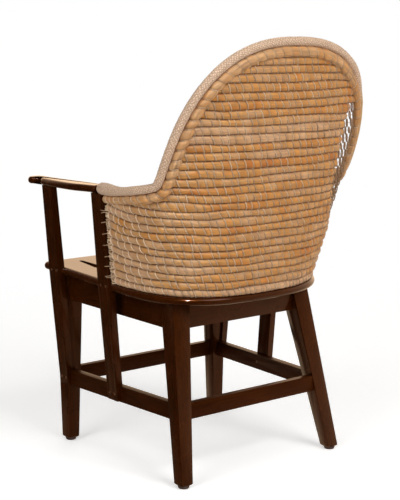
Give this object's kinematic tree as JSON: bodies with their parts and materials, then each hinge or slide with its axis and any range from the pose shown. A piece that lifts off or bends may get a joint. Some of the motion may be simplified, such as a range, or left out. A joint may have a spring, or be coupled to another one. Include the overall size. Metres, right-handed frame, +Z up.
{
  "type": "dining armchair",
  "caption": "Dining armchair with a dark wooden frame, leaning arm posts, flat arms and a tall sewn-straw back that wraps round the sitter.",
  "frame": {"origin": "centre of the bounding box on the floor, under the middle of the chair", "axes": "+Z up; the front of the chair faces -Y; +X is the sitter's left"},
  "size_m": [0.6514, 0.6786, 1.0454],
  "materials": {
    "dark_wood": "high-gloss dark brown lacquer",
    "sewn_straw": "dry straw rows sewn with thin twine",
    "coil_straw": "dry straw rope bound with twine",
    "twine_wrap": "fine twine wrapping, matt",
    "cane": "bare cane",
    "pale_wood": "bare sawn wood",
    "peg_wood": "sanded end grain under lacquer",
    "zinc_steel": "zinc plated",
    "rubber": "dark brown moulded rubber"
  },
  "bodies": {
    "root": {"seat_board": "dark_wood", "front_leg_left": "dark_wood", "front_leg_right": "dark_wood", "rear_leg_left": "dark_wood", "rear_leg_right": "dark_wood", "front_apron": "dark_wood", "rear_apron": "dark_wood", "side_apron_left": "dark_wood", "side_apron_right": "dark_wood", "front_stretcher": "dark_wood", "rear_stretcher": "dark_wood", "side_stretcher_left": "dark_wood", "side_stretcher_right": "dark_wood", "front_post_left": "dark_wood", "front_post_right": "dark_wood", "rear_post_left": "dark_wood", "rear_post_right": "dark_wood", "arm_left": "dark_wood", "arm_right": "dark_wood", "straw_back": "sewn_straw", "border_coil": "coil_straw", "wrapped_rim": "twine_wrap", "rim_hoop": "cane", "corner_block_front_left": "pale_wood", "corner_block_front_right": "pale_wood", "corner_block_rear_left": "pale_wood", "corner_block_rear_right": "pale_wood", "post_pegs": "peg_wood", "seat_screws": "zinc_steel", "block_screws": "zinc_steel", "foot_pads": "rubber"}
  },
  "joints": []
}
